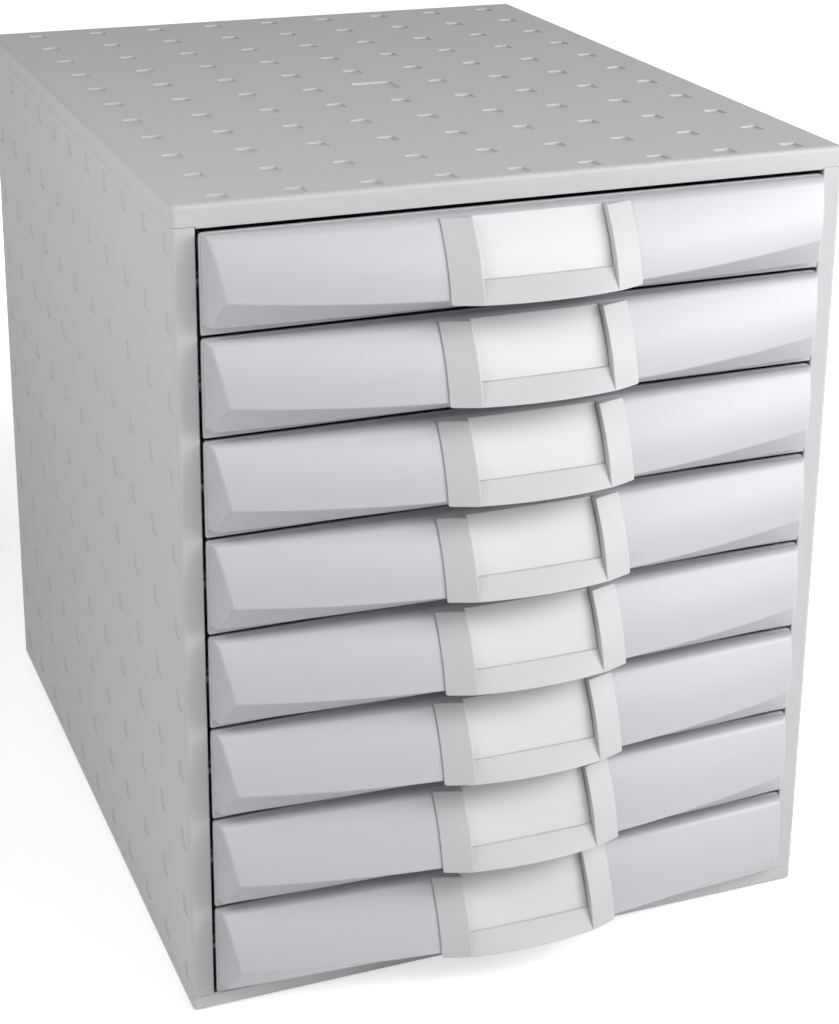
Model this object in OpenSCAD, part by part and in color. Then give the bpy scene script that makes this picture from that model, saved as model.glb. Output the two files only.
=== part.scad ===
// Desktop drawer cabinet in moulded plastic: a case of five panels and eight sliding drawers.
// Millimetres. X is the width, the drawers open toward -Y, Z is up.
// The origin is on the floor, under the middle of the cabinet with its handles.

/* [Case] */
// Width of the case
case_w = 290; // [250:1:330]
// Depth of the case, without the drawer fronts
case_d = 354; // [310:1:420]
// Thickness of the moulded panel skins
skin_t = 2.6; // [2:0.1:3.2]
// Width of the side panels' front and rear edges
side_w = 9.3; // [8.5:0.1:12]
// Thickness of the side panels' front and rear edges
side_flange_t = 3; // [2:0.1:4]
// Height of the top panel's side and rear edges
top_skirt_h = 8.7; // [7.5:0.1:9.5]
// Height of the top panel's front edge over the drawers
top_lip_h = 9.5; // [9.5:0.1:14]
// Height of the base panel's edges
base_h = 7.2; // [5:0.1:9]
// Thickness of the back panel
back_t = 2.5; // [2:0.1:4]
// Rounding of the case's outer edges
edge_r = 2; // [1:0.25:2.5]
// Height of the ribs that stiffen the top panel
stiffener_h = 2.6; // [1.5:0.1:3]
// Height by which the rubber feet stand proud of the base
foot_proud = 1; // [0.6:0.1:3]
// Diameter of the rubber feet
foot_dia = 18; // [12:1:26]
// Distance from the case's sides to the centres of the feet
foot_inset = 24; // [18:1:40]

/* [Square marks in the panels] */
// Side of each square mark
mark_w = 8; // [5:0.5:10]
// Depth of each square mark
mark_depth = 0.6; // [0.3:0.1:0.9]
// Spacing of the marks across the top panel
top_mark_pitch_x = 31; // [24:0.5:40]
// Spacing of the marks from front to back
mark_pitch_y = 33; // [24:0.5:40]
// Spacing of the marks up the side panels
side_mark_pitch_z = 32.2; // [24:0.1:40]
// Width of the large mark in the middle of the top panel
centre_mark_w = 20; // [12:1:22]
// Depth from front to back of the large mark in the middle of the top panel
centre_mark_l = 16; // [10:1:22]

/* [Drawers] */
// Distance from one drawer to the next
drawer_pitch = 42; // [40:0.5:50]
// Gap between one drawer front and the next
front_gap = 1.5; // [1:0.1:3]
// Gap between the top panel's lip and the first drawer front
top_gap = 1.5; // [1:0.1:4]
// Gap between the base panel and the last drawer front
base_gap = 1.4; // [1:0.1:4]
// Gap between a drawer front and the side panels
side_gap = 1.1; // [1:0.1:3]
// Travel of a drawer, from shut to its stop
travel = 250; // [150:5:265]
// Thickness of a drawer tray's walls
tray_wall = 2; // [1.5:0.1:2.5]
// Thickness of a drawer tray's floor
tray_floor = 2; // [1.5:0.1:2.5]
// Distance from the top of a drawer front to the top of its tray
tray_drop = 4; // [3:0.5:8]
// Distance from the bottom of a drawer front to the bottom of its tray
tray_rise = 1; // [0.5:0.1:3]
// Rounding of the tray's upright corners
tray_r = 4; // [2.5:0.5:8]
// Free space behind a shut drawer
rear_space = 14; // [8:1:30]

/* [Runners] */
// Distance from the top of a drawer front to the middle of its runner
runner_drop = 19.7; // [17:0.1:22]
// Thickness of a runner
runner_t = 2; // [1.5:0.1:2.5]
// Reach of a runner past the side panel's front edge
runner_reach = 3.2; // [2.5:0.1:3.5]
// Thickness of the tray ribs above and below a runner
rib_t = 2; // [1.5:0.1:2.5]
// Clearance between a tray rib and the runner under it
runner_seat = 0.3; // [0.2:0.05:0.5]
// Clearance between the tray and the runner's edge and underside
runner_play = 0.6; // [0.4:0.05:0.9]
// Height of the stops that end a drawer's travel
stop_h = 3; // [2:0.5:4]
// Length of the stops, along the travel
stop_len = 4; // [3:0.5:8]

/* [Drawer front] */
// Distance that the front's plate stands proud of the case
plate_proud = 1.5; // [1.2:0.1:3]
// Depth of the front's plate inside the case's front plane
plate_inner = 0.5; // [0.3:0.1:1.5]
// Rounding of the plate's upper corners
plate_r = 1.75; // [1:0.25:3]
// Wall thickness of the hollow front
front_wall = 2; // [1.5:0.1:2.4]
// Reach of the front's top edge from the case, in the middle
crest_mid = 9; // [7:0.25:12]
// Reach of the front's top edge from the case, at the ends
crest_end = 5.8; // [5:0.1:7]
// Reach of the front's lower edge from the case, in the middle
belly_mid = 24; // [20:0.5:28]
// Reach of the front's lower edge from the case, at the ends
belly_end = 13.8; // [12:0.1:19]
// Extra swell of the front's face between its top and its lower edge
swell = 2.2; // [0:0.1:3]
// Drop of the face's lower edge below the top, in the middle
crease_mid = 30.8; // [29.5:0.1:31.5]
// Drop of the face's lower edge below the top, at the ends
crease_end = 24; // [22:0.1:28]
// Drop of the heel, where the underside turns back to the plate
heel_drop = 36.3; // [34:0.1:36.5]
// Reach of the heel from the case, in the middle
heel_mid = 12; // [12:0.5:18]
// Reach of the heel from the case, at the ends
heel_end = 6.8; // [6:0.1:9]
// Width of the slanted ends of the face, at the top
end_slant_top = 2.4; // [0.5:0.1:3]
// Width of the slanted ends of the face, at its lower edge
end_slant_low = 6.4; // [3:0.1:8]

/* [Handle and label] */
// Width of the handle
handle_w = 82; // [70:1:100]
// Width of the handle's side bars
bar_w = 12.5; // [10:0.5:16]
// Height of a bar's inner edge over the front's face
bar_rise = 4.5; // [3:0.25:6]
// Height of a bar's outer edge over the front's face
bar_edge = 0.8; // [0.6:0.1:1.5]
// Drop of the handle's lower edge below the top of the front
grip_drop = 32; // [31.5:0.25:33.5]
// Drop of the lip's upper edge below the top of the front
lip_drop = 23.2; // [20:0.1:25]
// Height of the lip's upper edge over the front's face
lip_rise = 1.6; // [1:0.1:2.5]
// Reach of the lip's lower edge from the case, in the middle
lip_reach = 30.6; // [29:0.2:34]
// Wall thickness of the lip
lip_wall = 2; // [1.5:0.1:2.2]
// Drop of the handle's upper edge below the top of the front
handle_top_drop = 0.5; // [0.3:0.1:1.5]
// Thickness of the label card
card_t = 0.4; // [0.2:0.1:0.8]

/* [Hidden] */
drawer_count = 8;
drawer_numbers = [for (i = [1 : drawer_count]) i];

$fn = 48;
fit = 0.3;                       // clearance between parts that fit together
past = 1;                        // how far a cut runs past the surface it opens
root = 0.8;                      // how deep a small feature is rooted in the wall that carries it

// Colours
case_grey = [0.80, 0.80, 0.80];
front_grey = [0.88, 0.89, 0.91];
handle_grey = [0.84, 0.84, 0.83];
card_white = [0.96, 0.96, 0.97];
rubber_black = [0.12, 0.12, 0.12];

// Heights
base_top = foot_proud + base_h;
front_h = drawer_pitch - front_gap;
first_top = base_top + base_gap + (drawer_count - 1) * drawer_pitch + front_h;
lip_bottom = first_top + top_gap;
case_top = lip_bottom + top_lip_h;
seam = case_top - top_skirt_h;
side_h = seam - base_top;
function front_top(n) = first_top - (n - 1) * drawer_pitch;
function runner_mid(n) = front_top(n) - runner_drop;

// Widths
half_w = case_w / 2;
opening_hw = half_w - side_w;
plate_hw = opening_hw - side_gap;
runner_edge = opening_hw - runner_reach;
tray_hw = runner_edge - runner_play;
rib_edge = opening_hw - runner_play;

// Depths, measured back from the case's front plane
back_front = case_d - max(side_flange_t, skin_t) - fit - back_t;
inner_rear = back_front - fit;
tray_rear = inner_rear - rear_space;
tray_len = tray_rear - plate_inner;
stop_front = tray_rear - tray_r - 2 * stop_len - travel - fit;
rib_start = side_flange_t + 2;   // front end of the tray's ribs
stop_lane = 1;                   // height between a tray's lower rib and the stops

// The origin lies under the middle of the case and the handles that stand out of it
case_front = (lip_reach - case_d) / 2;

// Snap tongues between the case's panels
tongue_l = 16;
tongue_t = 2;
tongue_below = 4;
tongue_places = [0.15, 0.5, 0.85];
tongue_x = half_w - side_w / 2;

// Feet
foot_t = 2.2;
foot_xy = [for (x = [-1, 1], y = [foot_inset, case_d - foot_inset]) [x * (half_w - foot_inset), y]];

// Clips that hang a drawer front on its tray
hook_w = 12;
hook_t = 1.5;
hook_drop = 1;                   // drop of the upper hooks below the front's top
hook_grip = 2.5;                 // how far the upper hooks reach down behind the tray's wall
low_hook_drop = 34;
low_hook_root = 1.3;             // how far the lower hooks' blocks reach into the hollow front
hook_places = [-0.6, 0, 0.6];
low_hook_places = [-0.6, 0.6];

// Hollow of a drawer front
rim = 2.6;                       // width of the plate that is left round the hollow
crest_drop = 0.2;                // drop of the crest's top edge below the plate's
crest_h = 1.6;                   // height of the crest's rounding
crest_back = 1.5;                // how far the crest's top edge lies behind the face
back_inset = 0.35;               // how far the body's back lies inside the plate's ends
top_walls = 1.1;                 // wall over the hollow, in wall thicknesses
crease_walls = 0.4;              // wall under the hollow's lower edge, in wall thicknesses
heel_walls = 1.6;                // wall in front of the hollow's heel, in wall thicknesses

// Handle
handle_hw = handle_w / 2;
label_hw = handle_hw - bar_w;
bar_mid = handle_hw - bar_w / 2;
window_hw = label_hw + 2;        // half the width of the window behind the lip
window_drop = lip_drop - 0.8;    // drop of the window's upper edge
peg_w = 6;
peg_t = 2;
peg_drop = 9;
peg_len = 4.5;
peg_hook = 0.8;
card_gap = 0.2;                  // clearance between the card and the face

// ---- shapes of the drawer front ----

function mix(a, b, t) = a + (b - a) * t;
function ends(u) = pow(u / plate_hw, 2);             // 0 in the middle of a front, 1 at its ends

// Reach of the face from the case at u from the middle, at its top edge and d below the front's top
function crest_reach(u) = mix(crest_mid, crest_end, ends(u));
function face_reach(u, d) =
    mix(crest_reach(u), mix(belly_mid, belly_end, ends(u)), d / grip_drop)
    + swell * sin(180 * d / grip_drop);
function crease_drop(u) = mix(crease_mid, crease_end, ends(u));
function face_hw(d) = plate_hw - mix(end_slant_top, end_slant_low, min(1, d / crease_end));

// Handle surfaces, as reach from the case
function bar_reach(u, d) = face_reach(u, d) + mix(bar_edge, bar_rise, (handle_hw - abs(u)) / bar_w);
function lip_low_reach(u) =
    mix(lip_reach, face_reach(label_hw, grip_drop) + bar_rise, pow(u / label_hw, 2));
function lip_face(u, d) =
    mix(face_reach(u, lip_drop) + lip_rise, lip_low_reach(u), (d - lip_drop) / (grip_drop - lip_drop));

// Closed solid between two surfaces over a rectangle of u and d, on a grid of nu by nd cells
module sheet(u0, u1, d0, d1, outer, inner, nu, nd) {
    u = [for (i = [0 : nu]) mix(u0, u1, i / nu)];
    d = [for (j = [0 : nd]) mix(d0, d1, j / nd)];
    n = (nu + 1) * (nd + 1);
    function at(i, j) = j * (nu + 1) + i;
    function side(a, b) = [a, b, b + n, a + n];
    polyhedron(
        points = concat(
            [for (j = [0 : nd], i = [0 : nu]) [u[i], -outer(u[i], d[j]), -d[j]]],
            [for (j = [0 : nd], i = [0 : nu]) [u[i], -inner(u[i], d[j]), -d[j]]]),
        faces = concat(
            [for (j = [0 : nd - 1], i = [0 : nu - 1], h = [0, 1])
                h == 0 ? [at(i, j), at(i + 1, j), at(i + 1, j + 1)]
                       : [at(i, j), at(i + 1, j + 1), at(i, j + 1)]],
            [for (j = [0 : nd - 1], i = [0 : nu - 1], h = [0, 1])
                h == 0 ? [n + at(i, j), n + at(i + 1, j + 1), n + at(i + 1, j)]
                       : [n + at(i, j), n + at(i, j + 1), n + at(i + 1, j + 1)]],
            [for (i = [0 : nu - 1], h = [0, 1])
                h == 0 ? side(at(i + 1, 0), at(i, 0)) : side(at(i, nd), at(i + 1, nd))],
            [for (j = [0 : nd - 1], h = [0, 1])
                h == 0 ? side(at(0, j), at(0, j + 1)) : side(at(nu, j + 1), at(nu, j))]));
}

// Bulging body of a front. Its rows run down from the crest over the face and the crease to the
// heel, and it is closed by a flat back at back_reach. inset shrinks it, for the hollow inside.
module belly(inset, back_reach, nu, nd) {
    top_d = crest_drop + inset * top_walls;
    function row_drop(j, u) =
        j == 0 ? top_d
        : j <= nd ? mix(top_d + crest_h, crease_drop(u) - inset * crease_walls, (j - 1) / (nd - 1))
        : heel_drop - inset;
    function row_reach(j, u) =
        j == 0 ? crest_reach(u) - crest_back - inset
        : j <= nd ? face_reach(u, row_drop(j, u)) - inset
        : mix(heel_mid, heel_end, ends(u)) - inset * heel_walls;
    function row_hw(j) = face_hw(j <= nd ? crease_end * j / nd : 0) - inset;
    back_hw = plate_hw - back_inset - (inset == 0 ? 0 : rim);
    rows = nd + 1;
    front_n = (nu + 1) * (rows + 1);
    function at(i, j) = j * (nu + 1) + i;
    polyhedron(
        points = concat(
            [for (j = [0 : rows], i = [0 : nu])
                let (u = row_hw(j) * (2 * i / nu - 1)) [u, -row_reach(j, u), -row_drop(j, u)]],
            [for (j = [0 : rows], i = [0, nu])
                [back_hw * (2 * i / nu - 1), -back_reach, -row_drop(j, row_hw(j))]]),
        faces = concat(
            [for (j = [0 : rows - 1], i = [0 : nu - 1], h = [0, 1])
                h == 0 ? [at(i, j), at(i + 1, j), at(i + 1, j + 1)]
                       : [at(i, j), at(i + 1, j + 1), at(i, j + 1)]],
            [for (j = [0 : rows - 1], h = [0, 1])
                h == 0 ? [at(0, j), at(0, j + 1), front_n + 2 * j]
                       : [at(0, j + 1), front_n + 2 * j + 2, front_n + 2 * j]],
            [for (j = [0 : rows - 1], h = [0, 1])
                h == 0 ? [at(nu, j + 1), at(nu, j), front_n + 2 * j + 1]
                       : [at(nu, j + 1), front_n + 2 * j + 1, front_n + 2 * j + 3]],
            [for (i = [0 : nu - 1]) [at(i + 1, 0), at(i, 0), front_n]],
            [[at(nu, 0), front_n, front_n + 1]],
            [for (i = [0 : nu - 1]) [at(i, rows), at(i + 1, rows), front_n + 2 * rows]],
            [[at(nu, rows), front_n + 2 * rows + 1, front_n + 2 * rows]],
            [for (j = [0 : rows - 1])
                [front_n + 2 * j, front_n + 2 * j + 2, front_n + 2 * j + 3, front_n + 2 * j + 1]]));
}

// ---- general shapes ----

// Rectangle with round corners, from the origin to [w, h]
module round_rect(w, h, r) {
    translate([r, 0]) square([w - 2 * r, h]);
    translate([0, r]) square([w, h - 2 * r]);
    for (x = [r, w - r], y = [r, h - r]) translate([x, y]) circle(r);
}

// Rectangle with its two upper corners round
module round_top_rect(w, h, r) {
    square([w, h - r]);
    translate([r, 0]) square([w - 2 * r, h]);
    for (x = [r, w - r]) translate([x, h - r]) circle(r);
}

// Shallow pan of the case's outline, h high, with round upright corners and round edges on top
module case_pan(h, r) {
    intersection() {
        translate([-half_w, 0]) linear_extrude(h) round_rect(case_w, case_d, r);
        translate([-half_w, case_d, 0]) rotate([90, 0, 0])
            linear_extrude(case_d) round_top_rect(case_w, h, r);
        translate([-half_w, 0, 0]) rotate([90, 0, 90])
            linear_extrude(case_w) round_top_rect(case_d, h, r);
    }
}

// Cut that hollows a pan out from below and leaves a skin
module pan_hollow(h) {
    translate([-half_w + skin_t, skin_t, -past])
        cube([case_w - 2 * skin_t, case_d - 2 * skin_t, h - skin_t + past]);
}

// Places of marks along one direction: as many as fit around the middle at the pitch
function mark_places(length, pitch, margin) =
    let (n = floor((length / 2 - margin) / pitch)) [for (i = [-n : n]) length / 2 + i * pitch];

// ---- case ----

module top_marks() {
    for (x = mark_places(case_w, top_mark_pitch_x, mark_w),
         y = mark_places(case_d, mark_pitch_y, mark_w))
        if (x != case_w / 2 || y != case_d / 2)
            translate([x - half_w - mark_w / 2, y - mark_w, case_top - mark_depth])
                cube([mark_w, mark_w, mark_depth + past]);
    translate([-centre_mark_w / 2, (case_d - mark_w - centre_mark_l) / 2, case_top - mark_depth])
        cube([centre_mark_w, centre_mark_l, mark_depth + past]);
}

module tongue_slots(z) {
    for (x = [-1, 1], y = tongue_places)
        translate([x * tongue_x - tongue_t / 2 - fit, y * case_d - tongue_l / 2 - fit, z - past])
            cube([tongue_t + 2 * fit, tongue_l + 2 * fit, skin_t + 2 * past]);
}

module tongues(z0, z1) {
    for (x = [-1, 1], y = tongue_places)
        translate([x * tongue_x - tongue_t / 2, y * case_d - tongue_l / 2, z0])
            cube([tongue_t, tongue_l, z1 - z0]);
}

module top_panel() {
    color(case_grey) translate([0, case_front, 0]) difference() {
        union() {
            difference() {
                translate([0, 0, seam]) case_pan(top_skirt_h, edge_r);
                translate([0, 0, seam]) pan_hollow(top_skirt_h);
            }
            // lip over the drawers, between the side panels
            translate([-opening_hw + fit, 0, lip_bottom])
                cube([2 * (opening_hw - fit), skin_t, top_lip_h - skin_t]);
            // stiffening ribs under the skin
            for (y = tongue_places)
                translate([-half_w + skin_t - root, y * case_d - skin_t / 2,
                           case_top - skin_t - stiffener_h])
                    cube([case_w - 2 * skin_t + 2 * root, skin_t, stiffener_h + root]);
            tongues(seam - skin_t - tongue_below, case_top - skin_t + root);
        }
        top_marks();
    }
}

module base_panel() {
    color(case_grey) translate([0, case_front, 0]) difference() {
        union() {
            difference() {
                translate([0, case_d, base_top]) rotate([180, 0, 0]) case_pan(base_h, edge_r);
                translate([0, case_d, base_top]) rotate([180, 0, 0]) pan_hollow(base_h);
            }
            tongues(foot_proud + skin_t - root, base_top + skin_t + tongue_below);
        }
        for (p = foot_xy)
            translate([p[0], p[1], foot_proud - past]) cylinder(d = foot_dia, h = foot_t - foot_proud + past);
    }
}

// Right-hand side panel: skin, front and rear edges, top and bottom rims, eight runners
module side_panel() {
    color(case_grey) translate([0, case_front, 0]) difference() {
        union() {
            translate([0, 0, base_top]) linear_extrude(side_h) difference() {
                union() {
                    translate([opening_hw, 0]) round_rect(side_w, case_d, edge_r);
                    for (y = [0, case_d - side_flange_t])
                        translate([opening_hw, y]) square([side_w / 2, side_flange_t]);
                }
                translate([opening_hw - past, side_flange_t])
                    square([side_w - skin_t + past, case_d - 2 * side_flange_t]);
            }
            for (z = [base_top, seam - skin_t])
                translate([opening_hw, side_flange_t - root, z])
                    cube([side_w - root, inner_rear - side_flange_t + root, skin_t]);
            for (n = drawer_numbers) side_runner(n);
        }
        tongue_slots(base_top);
        tongue_slots(seam - skin_t);
        side_marks();
    }
}

// Runner of drawer n, and the stop that ends its travel
module side_runner(n) {
    translate([runner_edge, side_flange_t - root, runner_mid(n) - runner_t / 2])
        cube([half_w - root - runner_edge, inner_rear - side_flange_t + root, runner_t]);
    translate([tray_hw + runner_play, stop_front, stop_top(n) - stop_h])
        cube([half_w - root - tray_hw - runner_play, stop_len, stop_h]);
}

// The stops lie in a lane of their own under the tray's lower rib
function stop_top(n) = runner_mid(n) - runner_t / 2 - runner_play - rib_t - stop_lane;

module side_marks() {
    for (y = mark_places(case_d, mark_pitch_y, mark_w),
         z = mark_places(side_h, side_mark_pitch_z, mark_w / 2))
        translate([half_w - mark_depth, y - mark_w, base_top + z - mark_w / 2])
            cube([mark_depth + past, mark_w, mark_w]);
}

module right_side_panel() {
    side_panel();
}

module left_side_panel() {
    mirror([1, 0, 0]) side_panel();
}

module back_panel() {
    back_hw = half_w - skin_t - fit;
    back_z0 = foot_proud + skin_t + fit;
    back_z1 = case_top - skin_t - fit;
    color(case_grey) translate([-back_hw, case_front + back_front, back_z0])
        cube([2 * back_hw, back_t, back_z1 - back_z0]);
}

module rubber_feet() {
    color(rubber_black) for (p = foot_xy)
        translate([p[0], case_front + p[1], 0]) cylinder(d = foot_dia, h = foot_t);
}

// ---- drawers ----

module drawer_tray(n) {
    h = front_h - tray_drop - tray_rise;
    seat = runner_mid(n) + runner_t / 2 + runner_seat;
    under = runner_mid(n) - runner_t / 2 - runner_play - rib_t;
    color(front_grey) translate([0, case_front + plate_inner, front_top(n) - tray_drop - h]) difference() {
        union() {
            translate([-tray_hw, 0]) linear_extrude(h) round_rect(2 * tray_hw, tray_len, tray_r);
            for (x = [-1, 1]) {
                for (z = [seat, under])
                    translate([x > 0 ? tray_hw - root : -rib_edge, rib_start, z - tray_bottom(n)])
                        cube([rib_edge - tray_hw + root, tray_len - rib_start - tray_r, rib_t]);
                translate([x > 0 ? tray_hw - tray_wall / 2 : -rib_edge,
                           tray_len - tray_r - stop_len, stop_top(n) - stop_h - tray_bottom(n)])
                    cube([rib_edge - tray_hw + tray_wall / 2, stop_len, stop_h]);
            }
        }
        translate([-tray_hw + tray_wall, tray_wall, tray_floor])
            linear_extrude(h)
                round_rect(2 * (tray_hw - tray_wall), tray_len - 2 * tray_wall, tray_r - tray_wall / 2);
        for (x = low_hook_places)
            translate([x * plate_hw - hook_w / 2 - fit, -past, h + tray_drop - low_hook_drop - hook_t - fit])
                cube([hook_w + 2 * fit, tray_wall + 2 * past, hook_t + 2 * fit]);
    }
}

function tray_bottom(n) = front_top(n) - front_h + tray_rise;

// Hollow front with a bulging face, hung on the tray's front wall by its hooks
module drawer_front(n) {
    color(front_grey) translate([0, case_front, front_top(n)]) difference() {
        union() {
            difference() {
                union() {
                    translate([-plate_hw, plate_inner, -front_h]) rotate([90, 0, 0])
                        linear_extrude(plate_inner + plate_proud) round_top_rect(2 * plate_hw, front_h, plate_r);
                    belly(0, plate_proud - root, 16, 5);
                }
                belly(front_wall, -plate_inner - past, 12, 4);
            }
            for (x = hook_places) translate([x * plate_hw - hook_w / 2, 0, 0]) {
                translate([0, -root, -hook_drop - hook_t])
                    cube([hook_w, root + plate_inner + tray_wall + fit + hook_t, hook_t]);
                translate([0, plate_inner + tray_wall + fit, -tray_drop - hook_grip])
                    cube([hook_w, hook_t, tray_drop + hook_grip - hook_drop]);
            }
            for (x = low_hook_places) translate([x * plate_hw - hook_w / 2, 0, 0]) {
                translate([0, -low_hook_root, -front_h + rim / 2])
                    cube([hook_w, low_hook_root + plate_inner, front_h - rim / 2 - low_hook_drop]);
                translate([0, -root, -low_hook_drop - hook_t])
                    cube([hook_w, root + plate_inner + tray_wall + fit, hook_t]);
            }
        }
        // window behind the handle's lip, for the fingers
        translate([-window_hw, -lip_reach, -heel_drop - fit])
            cube([2 * window_hw, lip_reach - plate_proud, heel_drop + fit - window_drop]);
        // slots for the handle's pegs
        for (x = [-1, 1])
            translate([x * bar_mid - peg_w / 2 - fit, -lip_reach, -peg_drop - peg_t - fit])
                cube([peg_w + 2 * fit, lip_reach - plate_proud, peg_t + peg_hook + 2 * fit]);
    }
}

// Two bars and a lip under the label, held by a hooked peg behind each bar
module handle(n) {
    peg_front = face_reach(bar_mid, peg_drop) + fit + root;
    color(handle_grey) translate([0, case_front, front_top(n)]) {
        for (x = [-1, 1]) {
            sheet(x > 0 ? label_hw : -handle_hw, x > 0 ? handle_hw : -label_hw,
                  handle_top_drop, grip_drop,
                  function(u, d) bar_reach(u, d), function(u, d) face_reach(u, d) + fit, 3, 6);
            translate([x * bar_mid - peg_w / 2, -peg_front, -peg_drop - peg_t])
                cube([peg_w, peg_len, peg_t]);
            translate([x * bar_mid - peg_w / 2, peg_len - peg_front - peg_hook, -peg_drop - peg_t])
                cube([peg_w, peg_hook, peg_t + peg_hook]);
        }
        sheet(-label_hw - root, label_hw + root, lip_drop, grip_drop,
              function(u, d) lip_face(u, d), function(u, d) lip_face(u, d) - lip_wall, 12, 3);
    }
}

// Plain paper card between the bars, on the front's face
module label_card(n) {
    color(card_white) translate([0, case_front, front_top(n)])
        sheet(-label_hw + fit, label_hw - fit, handle_top_drop + fit, lip_drop - fit,
              function(u, d) face_reach(u, d) + card_gap + card_t,
              function(u, d) face_reach(u, d) + card_gap, 6, 4);
}

top_panel();
base_panel();
left_side_panel();
right_side_panel();
back_panel();
rubber_feet();
for (i = drawer_numbers) drawer_tray(i);
for (i = drawer_numbers) drawer_front(i);
for (i = drawer_numbers) handle(i);
for (i = drawer_numbers) label_card(i);
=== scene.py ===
import math

import bmesh
import bpy
import numpy as np
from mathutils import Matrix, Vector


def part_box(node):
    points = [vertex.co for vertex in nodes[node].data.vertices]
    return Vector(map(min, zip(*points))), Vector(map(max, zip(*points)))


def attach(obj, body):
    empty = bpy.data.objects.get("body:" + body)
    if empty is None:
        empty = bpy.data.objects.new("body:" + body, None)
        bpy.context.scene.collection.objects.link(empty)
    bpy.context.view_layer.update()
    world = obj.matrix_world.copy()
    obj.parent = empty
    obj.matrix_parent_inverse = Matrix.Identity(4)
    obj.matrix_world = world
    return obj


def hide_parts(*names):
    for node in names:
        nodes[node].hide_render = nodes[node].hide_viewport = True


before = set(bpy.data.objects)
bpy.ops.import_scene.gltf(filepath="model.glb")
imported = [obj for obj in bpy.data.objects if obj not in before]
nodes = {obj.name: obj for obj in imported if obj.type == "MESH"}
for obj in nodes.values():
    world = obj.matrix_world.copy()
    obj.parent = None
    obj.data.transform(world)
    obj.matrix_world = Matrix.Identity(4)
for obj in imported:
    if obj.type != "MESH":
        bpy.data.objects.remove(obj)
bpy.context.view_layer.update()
mm = 0.001  # shapes are worked out in millimetres and set down in metres
drawers = range(1, 9)
print("frame loaded,", len(nodes), "nodes")


def nodeBox(name):  # lowest and highest corner of a CAD node at rest, in millimetres
    low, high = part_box(name)
    return np.array(low) / mm, np.array(high) / mm


def frontTop(n):  # height of the upper edge of a drawer's front
    return nodeBox(f"drawer_front_{n}")[1][2]


# camera, lamps and floor: places and sizes in metres, turns in degrees

lens = {
    "focal": 75.77, "sensor": 36.0, "shiftY": -0.168, "near": 0.01,
    "place": (-0.3404, -0.9146, 0.5689), "turn": (71.05, -0.53, -21.24),
}

eye = bpy.data.cameras.new("eye")
eye.lens = lens["focal"]
eye.sensor_width = lens["sensor"]
eye.shift_y = lens["shiftY"]
eye.clip_start = lens["near"]
camera = bpy.data.objects.new("eye", eye)
camera.location = lens["place"]
camera.rotation_euler = [math.radians(a) for a in lens["turn"]]
bpy.context.scene.collection.objects.link(camera)
bpy.context.scene.camera = camera
bpy.context.scene.view_settings.view_transform = "Standard"

lampSetup = {
    "highRight": {"place": (0.45, -1.0, 1.05), "size": 0.6, "power": 3.0},
    "right": {"place": (1.0, -0.8, 0.6), "size": 0.6, "power": 9.9},
    "near": {"place": (0.35, -0.65, 0.6), "size": 0.4, "power": 1.3},
    "nearLeft": {"place": (-0.6, -0.35, 0.75), "size": 0.4, "power": 2.3},
    "lowLeft": {"place": (-1.1, -0.6, 0.3), "size": 0.6, "power": 1.8},
    "left": {"place": (-1.5, 0.0, 0.73), "size": 0.6, "power": 1.0},
    "rearRight": {"place": (0.61, 1.06, 1.21), "size": 0.6, "power": 0.75},
    "rearLeft": {"place": (-0.61, 1.06, 1.21), "size": 0.6, "power": 0.75},
    "rear": {"place": (0.0, 1.4, 0.16), "size": 0.3, "power": 4.5},
}
lampAim = (0.0, 0.0, 0.18)
skySetup = {"ambient": 0.09, "backdrop": 1.0}


def addLamp(name, setup):  # square lamp that faces lampAim
    data = bpy.data.lights.new(name, "AREA")
    data.size = setup["size"]
    data.energy = setup["power"]
    lamp = bpy.data.objects.new(name, data)
    toward = np.array(lampAim) - np.array(setup["place"])
    flat = math.hypot(toward[0], toward[1])
    lamp.location = setup["place"]
    lamp.rotation_euler = (math.atan2(flat, -toward[2]), 0.0, math.atan2(-toward[0], toward[1]))
    lamp.visible_camera = False
    bpy.context.scene.collection.objects.link(lamp)


for lampName, setup in lampSetup.items():
    addLamp(lampName, setup)


def seenDirectly(tree):  # 1 for rays that show the background: straight, mirrored or seen through
    path = tree.nodes.new("ShaderNodeLightPath")
    first = tree.nodes.new("ShaderNodeMath")
    first.operation = "MAXIMUM"
    second = tree.nodes.new("ShaderNodeMath")
    second.operation = "MAXIMUM"
    tree.links.new(path.outputs["Is Camera Ray"], first.inputs[0])
    tree.links.new(path.outputs["Is Glossy Ray"], first.inputs[1])
    tree.links.new(first.outputs[0], second.inputs[0])
    tree.links.new(path.outputs["Is Transmission Ray"], second.inputs[1])
    return second.outputs[0]


sky = bpy.data.worlds.new("sky")
bpy.context.scene.world = sky
sky.use_nodes = True
skyTree = sky.node_tree
skyTree.nodes.clear()
ambient = skyTree.nodes.new("ShaderNodeBackground")
ambient.inputs["Color"].default_value = (1, 1, 1, 1)
ambient.inputs["Strength"].default_value = skySetup["ambient"]
backdrop = skyTree.nodes.new("ShaderNodeBackground")
backdrop.inputs["Color"].default_value = (1, 1, 1, 1)
backdrop.inputs["Strength"].default_value = skySetup["backdrop"]
skyMix = skyTree.nodes.new("ShaderNodeMixShader")
skyOut = skyTree.nodes.new("ShaderNodeOutputWorld")
skyTree.links.new(seenDirectly(skyTree), skyMix.inputs[0])
skyTree.links.new(ambient.outputs[0], skyMix.inputs[1])
skyTree.links.new(backdrop.outputs[0], skyMix.inputs[2])
skyTree.links.new(skyMix.outputs[0], skyOut.inputs["Surface"])

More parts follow.
